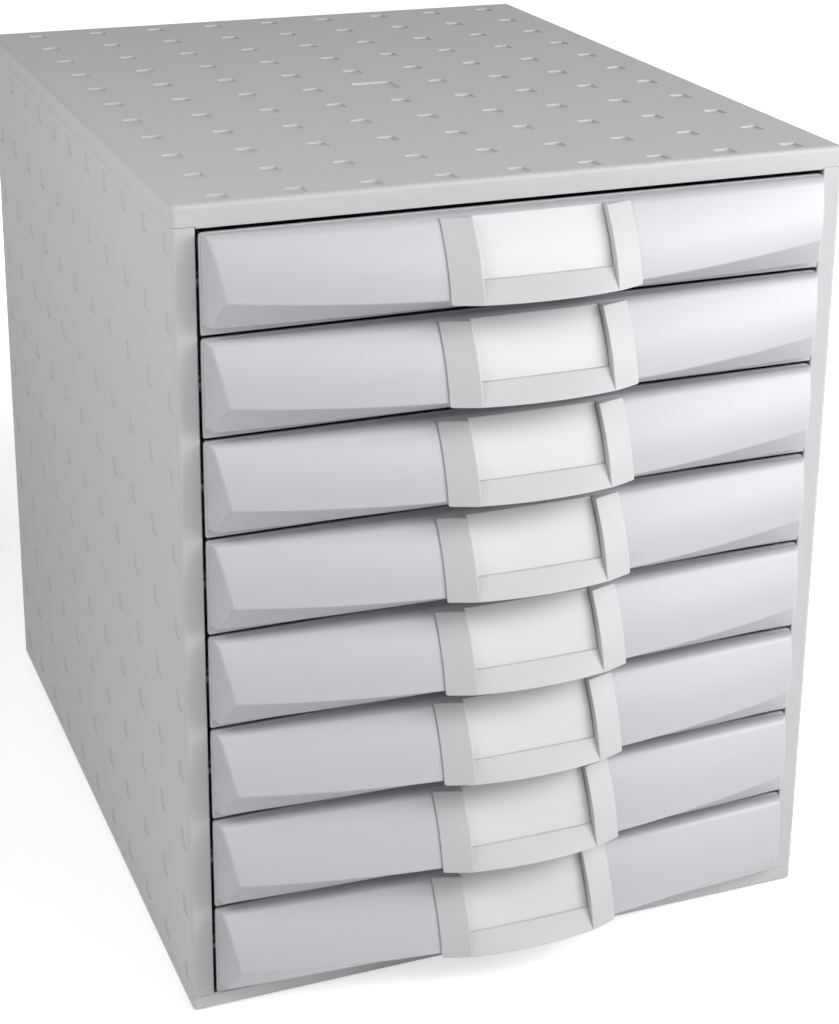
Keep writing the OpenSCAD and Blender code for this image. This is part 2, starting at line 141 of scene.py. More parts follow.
floorSetup = {  # its glow grows from near to far, where it meets the white backdrop
    "half": 6.0, "colour": (0.86, 0.86, 0.86, 1),
    "near": 0.5, "far": 1.2, "glowNear": 0.55, "glowFar": 1.0,
}
fadeInputs = {"From Min": "near", "From Max": "far", "To Min": "glowNear", "To Max": "glowFar"}

half = floorSetup["half"]
floorCorners = [(-half, -half, 0), (half, -half, 0), (half, half, 0), (-half, half, 0)]
floorMesh = bpy.data.meshes.new("floor")
floorMesh.from_pydata(floorCorners, [], [(0, 1, 2, 3)])
floor = bpy.data.objects.new("floor", floorMesh)
bpy.context.scene.collection.objects.link(floor)
floorFinish = bpy.data.materials.new("paleFloor")
floorFinish.use_nodes = True
floorTree = floorFinish.node_tree
floorTree.nodes.clear()
floorPaint = floorTree.nodes.new("ShaderNodeBsdfDiffuse")
floorPaint.inputs["Color"].default_value = floorSetup["colour"]
floorGlow = floorTree.nodes.new("ShaderNodeEmission")
floorGlow.inputs["Color"].default_value = (1, 1, 1, 1)
floorWhere = floorTree.nodes.new("ShaderNodeTexCoord")
floorAway = floorTree.nodes.new("ShaderNodeVectorMath")
floorAway.operation = "LENGTH"
floorFade = floorTree.nodes.new("ShaderNodeMapRange")
for label, value in fadeInputs.items():
    floorFade.inputs[label].default_value = floorSetup[value]
floorTree.links.new(floorWhere.outputs["Object"], floorAway.inputs[0])
floorTree.links.new(floorAway.outputs["Value"], floorFade.inputs["Value"])
floorTree.links.new(floorFade.outputs["Result"], floorGlow.inputs["Strength"])
floorNone = floorTree.nodes.new("ShaderNodeEmission")
floorNone.inputs["Strength"].default_value = 0.0
floorMix = floorTree.nodes.new("ShaderNodeMixShader")
floorSum = floorTree.nodes.new("ShaderNodeAddShader")
floorOut = floorTree.nodes.new("ShaderNodeOutputMaterial")
floorTree.links.new(seenDirectly(floorTree), floorMix.inputs[0])
floorTree.links.new(floorNone.outputs[0], floorMix.inputs[1])
floorTree.links.new(floorGlow.outputs[0], floorMix.inputs[2])
floorTree.links.new(floorMix.outputs[0], floorSum.inputs[0])
floorTree.links.new(floorPaint.outputs[0], floorSum.inputs[1])
floorTree.links.new(floorSum.outputs[0], floorOut.inputs["Surface"])
floorMesh.materials.append(floorFinish)
print("camera, lamps and floor placed")


# finishes

surfaceSetup = {
    "flowDetail": 3.0, "pitDetail": 2.0, "pitRoughness": 0.6,
    "sinkSize": 32.0, "sinkDetail": 1.0, "sinkShare": 2.5,
}
surfaceInputs = {
    "Flow": 0.02, "Flow size": 7.0, "Grain size": 2400.0, "Sheen base": 0.45, "Sheen spread": 0.06,
}


def mouldedSurface():  # fine spark-eroded grain, faint flow shading and slightly uneven sheen
    group = bpy.data.node_groups.new("mouldedSurface", "ShaderNodeTree")
    face = group.interface
    face.new_socket("Colour", in_out="INPUT", socket_type="NodeSocketColor")
    for label, value in surfaceInputs.items():
        face.new_socket(label, in_out="INPUT", socket_type="NodeSocketFloat").default_value = value
    face.new_socket("Colour", in_out="OUTPUT", socket_type="NodeSocketColor")
    face.new_socket("Roughness", in_out="OUTPUT", socket_type="NodeSocketFloat")
    face.new_socket("Height", in_out="OUTPUT", socket_type="NodeSocketFloat")
    add, link = group.nodes.new, group.links.new
    given, made = add("NodeGroupInput"), add("NodeGroupOutput")
    where = add("ShaderNodeTexCoord")

    flow = add("ShaderNodeTexNoise")  # broad, soft clouds left by the flow of the plastic
    flow.inputs["Detail"].default_value = surfaceSetup["flowDetail"]
    link(where.outputs["Object"], flow.inputs["Vector"])
    link(given.outputs["Flow size"], flow.inputs["Scale"])
    centred = add("ShaderNodeMath")
    centred.operation = "SUBTRACT"
    centred.inputs[1].default_value = 0.5
    link(flow.outputs["Fac"], centred.inputs[0])
    share = add("ShaderNodeMath")
    share.operation = "MULTIPLY_ADD"
    share.inputs[2].default_value = 1.0
    link(centred.outputs[0], share.inputs[0])
    link(given.outputs["Flow"], share.inputs[1])
    tint = add("ShaderNodeVectorMath")
    tint.operation = "SCALE"
    link(given.outputs["Colour"], tint.inputs[0])
    link(share.outputs[0], tint.inputs["Scale"])
    link(tint.outputs[0], made.inputs["Colour"])

    grain = add("ShaderNodeTexNoise")  # pits of the eroded mould
    grain.inputs["Detail"].default_value = surfaceSetup["pitDetail"]
    grain.inputs["Roughness"].default_value = surfaceSetup["pitRoughness"]
    link(where.outputs["Object"], grain.inputs["Vector"])
    link(given.outputs["Grain size"], grain.inputs["Scale"])
    ripple = add("ShaderNodeTexNoise")  # barely visible sinking over the ribs behind
    ripple.inputs["Scale"].default_value = surfaceSetup["sinkSize"]
    ripple.inputs["Detail"].default_value = surfaceSetup["sinkDetail"]
    link(where.outputs["Object"], ripple.inputs["Vector"])
    relief = add("ShaderNodeMath")
    relief.operation = "MULTIPLY_ADD"
    relief.inputs[1].default_value = surfaceSetup["sinkShare"]
    link(ripple.outputs["Fac"], relief.inputs[0])
    link(grain.outputs["Fac"], relief.inputs[2])
    link(relief.outputs[0], made.inputs["Height"])

    patchy = add("ShaderNodeMath")
    patchy.operation = "ADD"
    link(flow.outputs["Fac"], patchy.inputs[0])
    link(grain.outputs["Fac"], patchy.inputs[1])
    lowered = add("ShaderNodeMath")
    lowered.operation = "SUBTRACT"
    lowered.inputs[1].default_value = 1.0
    link(patchy.outputs[0], lowered.inputs[0])
    sheen = add("ShaderNodeMath")
    sheen.operation = "MULTIPLY_ADD"
    link(lowered.outputs[0], sheen.inputs[0])
    link(given.outputs["Sheen spread"], sheen.inputs[1])
    link(given.outputs["Sheen base"], sheen.inputs[2])
    link(sheen.outputs[0], made.inputs["Roughness"])
    return group


surfaceGroup = mouldedSurface()


def srgb(r, g, b):  # a colour as a paint chart gives it, 0 to 255, in scene values
    c = np.array([r, g, b]) / 255
    return (*np.where(c <= 0.04045, c / 12.92, ((c + 0.055) / 1.055) ** 2.4), 1.0)


def mouldedFinish(name, look):  # the shared surface in one material, with that material's own values
    finish = bpy.data.materials.new(name)
    finish.use_nodes = True
    tree = finish.node_tree
    shader = tree.nodes["Principled BSDF"]
    shader.inputs["IOR"].default_value = look["ior"]
    shader.inputs["Specular IOR Level"].default_value = look["specular"]
    surface = tree.nodes.new("ShaderNodeGroup")
    surface.node_tree = surfaceGroup
    surface.inputs["Colour"].default_value = srgb(*look["colour"])
    surface.inputs["Flow"].default_value = look["flow"]
    surface.inputs["Flow size"].default_value = look["flowSize"]
    surface.inputs["Grain size"].default_value = look["grainSize"]
    surface.inputs["Sheen base"].default_value = look["roughness"]
    surface.inputs["Sheen spread"].default_value = look["spread"]
    bump = tree.nodes.new("ShaderNodeBump")
    bump.inputs["Strength"].default_value = look["bump"]
    bump.inputs["Distance"].default_value = look["grainDepth"]
    tree.links.new(surface.outputs["Colour"], shader.inputs["Base Color"])
    tree.links.new(surface.outputs["Roughness"], shader.inputs["Roughness"])
    tree.links.new(surface.outputs["Height"], bump.inputs["Height"])
    tree.links.new(bump.outputs["Normal"], shader.inputs["Normal"])
    return finish


caseLook = {
    "colour": (196, 195, 197), "flow": 0.05, "flowSize": 6.0, "grainSize": 2600.0,
    "roughness": 0.55, "spread": 0.08, "bump": 0.5, "grainDepth": 0.00002, "ior": 1.5, "specular": 0.5,
}
frontLook = {
    "colour": (188, 189, 193), "flow": 0.03, "flowSize": 9.0, "grainSize": 3000.0,
    "roughness": 0.38, "spread": 0.06, "bump": 0.4, "grainDepth": 0.000015, "ior": 1.58, "specular": 0.5,
}
handleLook = {
    "colour": (196, 196, 198), "flow": 0.03, "flowSize": 14.0, "grainSize": 3000.0,
    "roughness": 0.5, "spread": 0.06, "bump": 0.45, "grainDepth": 0.000018, "ior": 1.5, "specular": 0.5,
}
trayLook = {
    "colour": (204, 205, 209), "flow": 0.04, "flowSize": 8.0, "grainSize": 2400.0,
    "roughness": 0.4, "spread": 0.08, "bump": 0.4, "grainDepth": 0.000015, "ior": 1.48, "specular": 0.5,
}
cardLook = {
    "colour": (214, 215, 217), "flow": 0.02, "flowSize": 40.0, "grainSize": 4200.0,
    "roughness": 0.42, "spread": 0.1, "bump": 0.5, "grainDepth": 0.000012, "ior": 1.5, "specular": 0.5,
}
rubberLook = {
    "colour": (38, 38, 39), "flow": 0.25, "flowSize": 60.0, "grainSize": 1800.0,
    "roughness": 0.8, "spread": 0.15, "bump": 0.8, "grainDepth": 0.00004, "ior": 1.5, "specular": 0.3,
}

casePlastic = mouldedFinish("casePlastic", caseLook)
frontPlastic = mouldedFinish("frontPlastic", frontLook)
handlePlastic = mouldedFinish("handlePlastic", handleLook)
trayPlastic = mouldedFinish("trayPlastic", trayLook)
labelCard = mouldedFinish("labelCard", cardLook)
footRubber = mouldedFinish("footRubber", rubberLook)
print("finishes made")


# shapes from grids of points; a shell is its points, its quads and its end faces

def mix(a, b, t):  # straight from a to b
    return a + (b - a) * t


def bend(a, corner, b, t):  # quadratic curve from a to b that follows the corner's two legs at its ends
    return a * (1 - t) ** 2 + corner * 2 * t * (1 - t) + b * t ** 2


def gridFaces(rows, cols, wrap=False):  # quads between neighbours of a grid numbered row by row
    j, i = np.meshgrid(np.arange(rows - 1), np.arange(cols if wrap else cols - 1), indexing="ij")
    k = (i + 1) % cols
    return np.stack([j * cols + i, j * cols + k, (j + 1) * cols + k, (j + 1) * cols + i], -1).reshape(-1, 4)


def tube(loops, caps=True):  # closed rings, one after the other, with a face over each end
    loops = np.asarray(loops, float)
    rows, cols = loops.shape[:2]
    ends = [np.arange(cols), np.arange(cols) + (rows - 1) * cols] if caps else []
    return loops.reshape(-1, 3), gridFaces(rows, cols, True), ends


def sheetOf(grid):  # open surface
    rows, cols = grid.shape[:2]
    return grid.reshape(-1, 3), gridFaces(rows, cols), []


def thickSheet(outer, inner, keep=None):
    # two surfaces of the same grid, joined round every edge of the cells that are kept
    rows, cols = outer.shape[:2]
    keep = np.ones((rows - 1, cols - 1), bool) if keep is None else keep
    n = rows * cols
    quads = gridFaces(rows, cols)[keep.ravel()]
    around = np.pad(keep, 1)
    across = around[:, 1:] != around[:, :-1]  # edges that run down the grid
    j, i = np.nonzero(across[1:-1])
    a, b = j * cols + i, (j + 1) * cols + i
    along = around[1:, :] != around[:-1, :]  # edges that run along a row
    p, q = np.nonzero(along[:, 1:-1])
    c, d = p * cols + q, p * cols + q + 1
    walls = np.concatenate([np.stack([a, b, b + n, a + n], -1), np.stack([c, d, d + n, c + n], -1)])
    points = np.concatenate([outer.reshape(-1, 3), inner.reshape(-1, 3)])
    return points, np.concatenate([quads, quads[:, ::-1] + n, walls]), []


def ringAround(xs, ys, box, inset, radius, fan=6):
    # points round a rectangle: straight sides at the given lines and a quarter circle at each corner
    x0, x1, y0, y1 = box[0] + inset, box[1] - inset, box[2] + inset, box[3] - inset
    cx, cy = np.clip(xs, x0 + radius, x1 - radius), np.clip(ys, y0 + radius, y1 - radius)
    a = np.radians(np.linspace(0, 90, fan + 2)[1:-1])
    s, c = radius * np.sin(a), radius * np.cos(a)
    sides = [
        (cx, np.full(len(cx), y0)), (x1 - radius + s, y0 + radius - c),
        (np.full(len(cy), x1), cy), (x1 - radius + c, y1 - radius + s),
        (cx[::-1], np.full(len(cx), y1)), (x0 + radius - s, y1 - radius + c),
        (np.full(len(cy), x0), cy[::-1]), (x0 + radius - c, y0 + radius - s)]
    return np.concatenate([np.stack(side, -1) for side in sides])


def atHeight(ring, z):  # a flat ring set at one height, or at a height for each point
    return np.column_stack([ring, np.broadcast_to(z, len(ring))])


def lid(ring, z):  # one face that fills a flat ring
    return atHeight(ring, z), np.zeros((0, 4), int), [np.arange(len(ring))]


quarter = np.radians(np.linspace(0, 90, 6))
turn = [(1 - math.sin(a), 1 - math.cos(a)) for a in quarter]  # shares that fall and rise along a round edge


def softBox(low, high, soft):  # block with round edges and corners
    low, high = np.asarray(low, float), np.asarray(high, float)
    box = (low[0], high[0], low[1], high[1])
    xs, ys = np.array([low[0] + soft, high[0] - soft]), np.array([low[1] + soft, high[1] - soft])
    rings = [ringAround(xs, ys, box, soft * (1 - math.sin(a)), soft * math.sin(a), 2) for a in quarter[::2]]
    rises = [soft * rise for fall, rise in turn[::2]]
    loops = [atHeight(ring, low[2] + rise) for ring, rise in zip(rings, rises)]
    loops += [atHeight(ring, high[2] - rise) for ring, rise in zip(rings[::-1], rises[::-1])]
    return tube(loops)


def moved(shell, shift):  # the same shell, carried along by the shift
    return shell[0] + np.asarray(shift, float), shell[1], shell[2]


def mirrored(shell):  # the same shell on the other side of the middle
    return shell[0] * np.array([-1.0, 1.0, 1.0]), shell[1], shell[2]


joinSetup = {"merge": 2e-6, "sliver": 1e-7, "sharp": 34.0, "weight": 50}  # metres, metres, degrees, share


def addPiece(name, shells, body, finish, stands):
    # joins the shells into one mesh, closes their seams, turns their faces outward and sets it on its body
    points, faces, start = [], [], 0
    for shellPoints, quads, caps in shells:
        points.append(shellPoints * mm)
        faces += (quads + start).tolist() + [(cap + start).tolist() for cap in caps]
        start += len(shellPoints)
    mesh = bpy.data.meshes.new(name)
    mesh.from_pydata(np.concatenate(points).tolist(), [], faces)
    work = bmesh.new()
    work.from_mesh(mesh)
    bmesh.ops.remove_doubles(work, verts=work.verts, dist=joinSetup["merge"])
    bmesh.ops.dissolve_degenerate(work, edges=work.edges, dist=joinSetup["sliver"])
    bmesh.ops.recalc_face_normals(work, faces=work.faces)
    work.to_mesh(mesh)
    work.free()
    mesh.shade_smooth()
    mesh.set_sharp_from_angle(angle=math.radians(joinSetup["sharp"]))
    mesh.materials.append(finish)
    piece = bpy.data.objects.new(name, mesh)
    bpy.context.scene.collection.objects.link(piece)
    evened = piece.modifiers.new("evened", "WEIGHTED_NORMAL")
    evened.keep_sharp = True
    evened.weight = joinSetup["weight"]
    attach(piece, body)
    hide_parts(*stands)


# case

caseShape = {
    "edgeRound": 2.0, "innerRound": 0.6, "skin": 2.6, "flange": 3.0,
    "soft": 0.35, "stripSoft": 0.6, "rimSoft": 0.12, "blockSoft": 0.3, "seam": 0.6,
    "markSide": 8.0, "topMark": (0.9, 0.2), "sideMark": (0.7, 0.35),  # depth and slope of the marks' walls
    "markPitchX": 31.0, "markPitchY": 33.0, "markPitchZ": 32.2, "centreMark": (20.0, 16.0),
    "frontGap": 1.1, "topGap": 1.5, "backGap": 0.3, "rimGap": 0.02, "lipEnd": 0.3, "lipStep": 0.04,
    "rib": 2.6, "ribsAt": (0.15, 0.5, 0.85),
}
slide = {  # runners and stops in the side panels, and where the trays' ribs and bosses meet them
    "drop": 19.7, "reach": 3.2, "runner": 2.0, "soft": 0.4,
    "stopHigh": 4.6, "stopLow": 7.6, "stopLong": 4.0, "bossEnd": 4.0, "travel": 250.0, "spare": 0.3,
}
tuck = 0.8  # how deep the shells of one piece reach into each other

rightLow, rightHigh = nodeBox("right_side_panel")
frontLow, frontHigh = nodeBox("drawer_front_1")
topZ, baseZ = nodeBox("top_panel")[1][2], nodeBox("base_panel")[0][2]
halfWidth = rightHigh[0]
frontY, rearY = rightLow[1], rightHigh[1]
sideLow, sideHigh = rightLow[2], rightHigh[2]
plateHalf = frontHigh[0]
openingHalf = plateHalf + caseShape["frontGap"]  # where the side panels' front edges begin
lipZ = frontHigh[2] + caseShape["topGap"]
innerRear = nodeBox("back_panel")[0][1] - caseShape["backGap"]
bossY = nodeBox("drawer_tray_1")[1][1] - slide["bossEnd"]  # rear end of the trays' bosses
stopY = bossY - 2 * slide["stopLong"] - slide["travel"] - slide["spare"]
caseOutline = (-halfWidth, halfWidth, frontY, rearY)
caseDepth, sideHeight = rearY - frontY, sideHigh - sideLow


def markStarts(length, pitch, margin, shift):  # as many marks as fit, evenly to both sides of the middle
    count = math.floor((length / 2 - margin) / pitch)
    return length / 2 + np.arange(-count, count + 1) * pitch + shift


def markWalls(starts, side, shape):
    # lines across the marks and the depth on each: down a sloping wall, along the floor, and back up
    deep, draft = shape
    a = np.asarray(starts, float)[:, None]
    at = np.concatenate([a + [0.0, draft], a + side + [-draft, 0.0]], 1).ravel()
    return at, np.tile([0.0, deep, deep, 0.0], len(starts))


def depthOn(lines, walls):  # depth of the marks on the given lines, straight between the walls' own lines
    return np.interp(lines, walls[0], walls[1], left=0.0, right=0.0)


markSide, topMark, sideMark = caseShape["markSide"], caseShape["topMark"], caseShape["sideMark"]
startsX = markStarts(2 * halfWidth, caseShape["markPitchX"], markSide, -markSide / 2 - halfWidth)
startsY = markStarts(caseDepth, caseShape["markPitchY"], markSide, frontY - markSide)
startsZ = markStarts(sideHeight, caseShape["markPitchZ"], markSide / 2, sideLow - markSide / 2)
topX, topY = markWalls(startsX, markSide, topMark), markWalls(startsY, markSide, topMark)
sideY, sideZ = markWalls(startsY, markSide, sideMark), markWalls(startsZ, markSide, sideMark)
acrossX, acrossY = caseShape["centreMark"]
centreX = markWalls([-acrossX / 2], acrossX, topMark)
centreY = markWalls([frontY + (caseDepth - markSide - acrossY) / 2], acrossY, topMark)


def panLoops(xs, ys, faceZ, rimZ, away, slope):
    # rings from the flat face over the round edge, down the skirt, round its rim and up inside to the skin
    r, soft, skin, inner = (caseShape[k] for k in ("edgeRound", "rimSoft", "skin", "innerRound"))
    edge = zip(turn, r * np.sin(quarter))
    rings = [(r * fall, radius, faceZ - away * r * rise) for (fall, rise), radius in edge]
    rings += [(0.0, r, rimZ + away * slope), (slope, r - slope, rimZ)]
    rings += [(skin - soft * fall, inner, rimZ + away * soft * rise) for fall, rise in turn[::2]]
    rings += [(skin, inner, faceZ - away * (skin + inner)), (skin + inner, inner, faceZ - away * skin)]
    return [atHeight(ringAround(xs, ys, caseOutline, inset, radius), z) for inset, radius, z in rings]


def topPanel():
    # flat top, sunk where rows and columns of marks cross, on a pan with a lip over the drawers and ribs
    r, skin, inner = (caseShape[k] for k in ("edgeRound", "skin", "innerRound"))
    lipHalf, step = openingHalf - caseShape["lipEnd"], caseShape["lipStep"]
    lines = [-halfWidth + r, halfWidth - r, -lipHalf - step, -lipHalf, lipHalf, lipHalf + step]
    xs = np.unique(np.concatenate([lines, topX[0], centreX[0]]))
    ys = np.unique(np.concatenate([[frontY + r, rearY - r], topY[0], centreY[0]]))
    marks = np.minimum.outer(depthOn(ys, topY), depthOn(xs, topX))
    centre = np.minimum.outer(depthOn(ys, centreY), depthOn(xs, centreX))
    x, y = np.meshgrid(xs, ys)
    ring = ringAround(xs, ys, caseOutline, 0.0, r)
    overDrawers = (np.abs(ring[:, 0]) <= lipHalf + step / 4) & (ring[:, 1] < frontY + r / 2)
    rimZ = np.where(overDrawers, lipZ, sideHigh)
    under = topZ - skin
    shells = [
        sheetOf(np.stack([x, y, topZ - np.maximum(marks, centre)], -1)),
        tube(panLoops(xs, ys, topZ, rimZ, 1.0, caseShape["rimSoft"]), caps=False),
        lid(ringAround(xs, ys, caseOutline, skin + inner, inner), under)]
    for share in caseShape["ribsAt"]:
        at = frontY + share * caseDepth
        low = (-halfWidth + skin - tuck, at - skin / 2, under - caseShape["rib"])
        high = (halfWidth - skin + tuck, at + skin / 2, under + tuck)
        shells.append(softBox(low, high, caseShape["blockSoft"]))
    return shells


def basePanel():  # flat underside on a pan that opens upwards
    r, skin, inner = (caseShape[k] for k in ("edgeRound", "skin", "innerRound"))
    xs, ys = np.linspace(-halfWidth + r, halfWidth - r, 12), np.linspace(frontY + r, rearY - r, 12)
    x, y = np.meshgrid(xs, ys)
    return [
        sheetOf(np.stack([x, y, np.full_like(x, baseZ)], -1)),
        tube(panLoops(xs, ys, baseZ, sideLow, -1.0, caseShape["seam"]), caps=False),
        lid(ringAround(xs, ys, caseOutline, skin + inner, inner), baseZ + skin)]


def sidePanel():
    # outline of the right-hand panel seen from above, carried up from base to seam, with marks outside
    r, skin, flange = (caseShape[k] for k in ("edgeRound", "skin", "flange"))
    soft, strip, inner = caseShape["soft"], caseShape["stripSoft"], halfWidth - skin

    def arc(cx, cy, radius, first, steps=6):  # quarter circle that starts at the first angle
        a = np.radians(np.linspace(first, first + 90, steps))
        return np.column_stack([cx + radius * np.cos(a), cy + radius * np.sin(a)])

    outerY = np.unique(np.concatenate([[frontY + r, rearY - r], sideY[0]]))[1:-1]
    outline = np.concatenate([
        arc(openingHalf + strip, frontY + strip, strip, 180), arc(halfWidth - r, frontY + r, r, 270, 9),
        np.column_stack([np.full(len(outerY), halfWidth), outerY]),
        arc(halfWidth - r, rearY - r, r, 0, 9), arc(openingHalf + soft, rearY - soft, soft, 90),
        arc(openingHalf + soft, rearY - flange + soft, soft, 180),
        [[inner, rearY - flange], [inner, frontY + flange]],
        arc(openingHalf + soft, frontY + flange - soft, soft, 90)])
    tangent = np.roll(outline, -1, 0) - np.roll(outline, 1, 0)
    outward = np.column_stack([tangent[:, 1], -tangent[:, 0]]) / np.linalg.norm(tangent, axis=1)[:, None]
    crisp, seam = caseShape["rimSoft"], caseShape["seam"]
    middle = sideZ[0][(sideZ[0] > sideLow + 1) & (sideZ[0] < sideHigh - 1)]
    heights = np.concatenate([[sideLow, sideLow + crisp], middle, [sideHigh - seam, sideHigh]])
    insets = np.concatenate([[crisp, 0], np.zeros(len(middle)), [0, seam]])
    onFace = (outline[:, 0] > halfWidth - 1e-6).astype(float)
    depth = np.minimum.outer(depthOn(heights, sideZ), depthOn(outline[:, 1], sideY) * onFace)
    x = outline[None, :, 0] - outward[None, :, 0] * insets[:, None] - depth
    y = outline[None, :, 1] - outward[None, :, 1] * insets[:, None]
    z = np.broadcast_to(heights[:, None], x.shape)
    shells = [tube(np.stack([x, y, z], -1))]

    front, outer, gap = frontY + flange - tuck, inner + tuck, caseShape["rimGap"]
    for low in (sideLow, sideHigh - skin):  # rims that close the panel's two ends
        start, end = (openingHalf, front, low + gap), (outer, innerRear, low + skin - gap)
        shells.append(softBox(start, end, caseShape["blockSoft"]))
    reach, half = openingHalf - slide["reach"], slide["runner"] / 2
    for n in drawers:  # a runner and a stop for each drawer
        z = frontTop(n) - slide["drop"]
        low, high = z - slide["stopLow"], z - slide["stopHigh"]
        shells.append(softBox((reach, front, z - half), (outer, innerRear, z + half), slide["soft"]))
        shells.append(softBox((reach, stopY, low), (outer, stopY + slide["stopLong"], high), slide["soft"]))
    return shells


rightSide = sidePanel()
leftSide = [mirrored(shell) for shell in rightSide]
addPiece("topPanel", topPanel(), "case", casePlastic, ["top_panel"])
addPiece("basePanel", basePanel(), "case", casePlastic, ["base_panel"])
addPiece("rightSidePanel", rightSide, "case", casePlastic, ["right_side_panel"])
addPiece("leftSidePanel", leftSide, "case", casePlastic, ["left_side_panel"])
nodes["back_panel"].data.materials.clear()  # a plain board: its own mesh stays
nodes["back_panel"].data.materials.append(casePlastic)
print("case panels built")


# feet

footShape = {
    "radius": 9.0, "inset": 24.0, "soft": 0.5, "dish": 0.25, "dishEdge": 3.5, "dishFoot": 3.0,
    "high": 2.2, "topSoft": 0.2, "sides": 48,
}


def footPad():  # half outline turned about its axis: dished underside, round lower edge and flat top
    r, soft, high, topSoft, sides = (footShape[k] for k in ("radius", "soft", "high", "topSoft", "sides"))
    outline = [(r - footShape["dishEdge"], footShape["dish"]), (r - footShape["dishFoot"], 0.0)]
    outline += [(r - soft + soft * math.sin(a), soft * (1 - math.cos(a))) for a in quarter]
    outline += [(r, high - topSoft), (r - topSoft, high)]
    a = np.linspace(0, 2 * math.pi, sides, endpoint=False)
    return tube([atHeight(np.column_stack([out * np.cos(a), out * np.sin(a)]), z) for out, z in outline])


inset = footShape["inset"]
footAt = halfWidth - inset
pads = [moved(footPad(), (x, y, 0)) for x in (-footAt, footAt) for y in (frontY + inset, rearY - inset)]
addPiece("rubberFeet", pads, "case", footRubber, ["rubber_feet"])
print("feet built")


# drawer trays

trayShape = {
    "wall": 2.0, "floor": 2.0, "corner": 4.0, "straight": 6.0,
    "footSoft": 1.2, "rimSoft": 0.6, "innerRound": 0.6, "fillet": 1.6,
    "rib": 2.0, "ribReach": 3.2, "ribAbove": 1.3, "ribBelow": 3.6, "ribStart": 5.0, "ribSoft": 0.35,
    "bossTuck": 1.0,
}


def tray(n):
    # rings from under the floor up the outside, over the rim and down the inside to the floor, and side ribs
    low, high = nodeBox(f"drawer_tray_{n}")
    reach, straight = trayShape["ribReach"], trayShape["straight"]
    box = (low[0] + reach, high[0] - reach, low[1], high[1])
    wall, corner, fillet = trayShape["wall"], trayShape["corner"], trayShape["fillet"]
    soft, foot, tight = trayShape["rimSoft"], trayShape["footSoft"], trayShape["innerRound"]
    inner, floorZ = corner - wall, low[2] + trayShape["floor"]
    rings = [(foot * fall, corner - foot * fall, low[2] + foot * rise) for fall, rise in turn]
    rings += [(soft * rise, corner - soft * rise, high[2] - soft * fall) for fall, rise in turn]
    rings += [(wall - soft * fall, inner + soft * fall, high[2] - soft * rise) for fall, rise in turn]
    rings += [(wall + fillet * rise, inner + tight, floorZ + fillet * fall) for fall, rise in turn]
    xs = np.linspace(box[0] + straight, box[1] - straight, 4)
    ys = np.linspace(box[2] + straight, box[3] - straight, 4)
    shells = [tube([atHeight(ringAround(xs, ys, box, inset, radius, 8), z) for inset, radius, z in rings])]
    middleZ, rear, ribSoft = frontTop(n) - slide["drop"], high[1] - slide["bossEnd"], trayShape["ribSoft"]
    ribs, ribY = [], frontY + trayShape["ribStart"]
    for z in (middleZ + trayShape["ribAbove"], middleZ - trayShape["ribBelow"]):
        ribs.append(softBox((box[1] - tuck, ribY, z), (high[0], rear, z + trayShape["rib"]), ribSoft))
    boss = (box[1] - trayShape["bossTuck"], rear - slide["stopLong"], middleZ - slide["stopLow"])
    ribs.append(softBox(boss, (high[0], rear, middleZ - slide["stopHigh"]), ribSoft))
    return shells + ribs + [mirrored(rib) for rib in ribs]


for n in drawers:
    addPiece(f"drawerTray{n}", tray(n), f"drawer_{n}", trayPlastic, [f"drawer_tray_{n}"])
print("trays built")


# drawer fronts

frontShape = {
    "plateProud": 1.5, "plateInner": 0.5, "plateRound": 1.75, "plateFoot": 0.5, "plateSoft": 0.4,
    "plateEdge": 0.2, "wall": 2.0, "rim": 2.6, "holeRound": 0.8,
    "crestMiddle": 9.0, "crestEnd": 5.8, "crestDrop": 0.2, "crestSoft": 2.3,
    "bellyMiddle": 24.0, "bellyEnd": 13.8, "bellyDrop": 32.0, "swell": 2.2,
    "creaseMiddle": 30.8, "creaseEnd": 24.0, "creaseSoft": 0.6,
    "heelMiddle": 12.0, "heelEnd": 6.8, "heelDrop": 36.3, "heelSoft": 0.3,
    "slantBack": 0.35, "slantTop": 2.4, "slantLow": 6.4, "shoulder": 0.55, "endSoft": 1.1, "endShare": 0.4,
    "innerTop": 1.1, "innerCrease": 0.4, "innerHeel": 1.6,  # shifts of the inner rows, in wall thicknesses
    "windowHalf": 30.5, "windowDrop": 22.4,
}


def faceReach(u, d):
    # how far the face stands out, u across from the middle and d below the top: straight from the crest's
    # reach to the belly's, each smaller by the square of u, plus half a sine wave of swell
    s = frontShape
    outward = (u / plateHalf) ** 2
    high, low = mix(s["crestMiddle"], s["crestEnd"], outward), mix(s["bellyMiddle"], s["bellyEnd"], outward)
    return mix(high, low, d / s["bellyDrop"]) + s["swell"] * np.sin(np.pi * d / s["bellyDrop"])


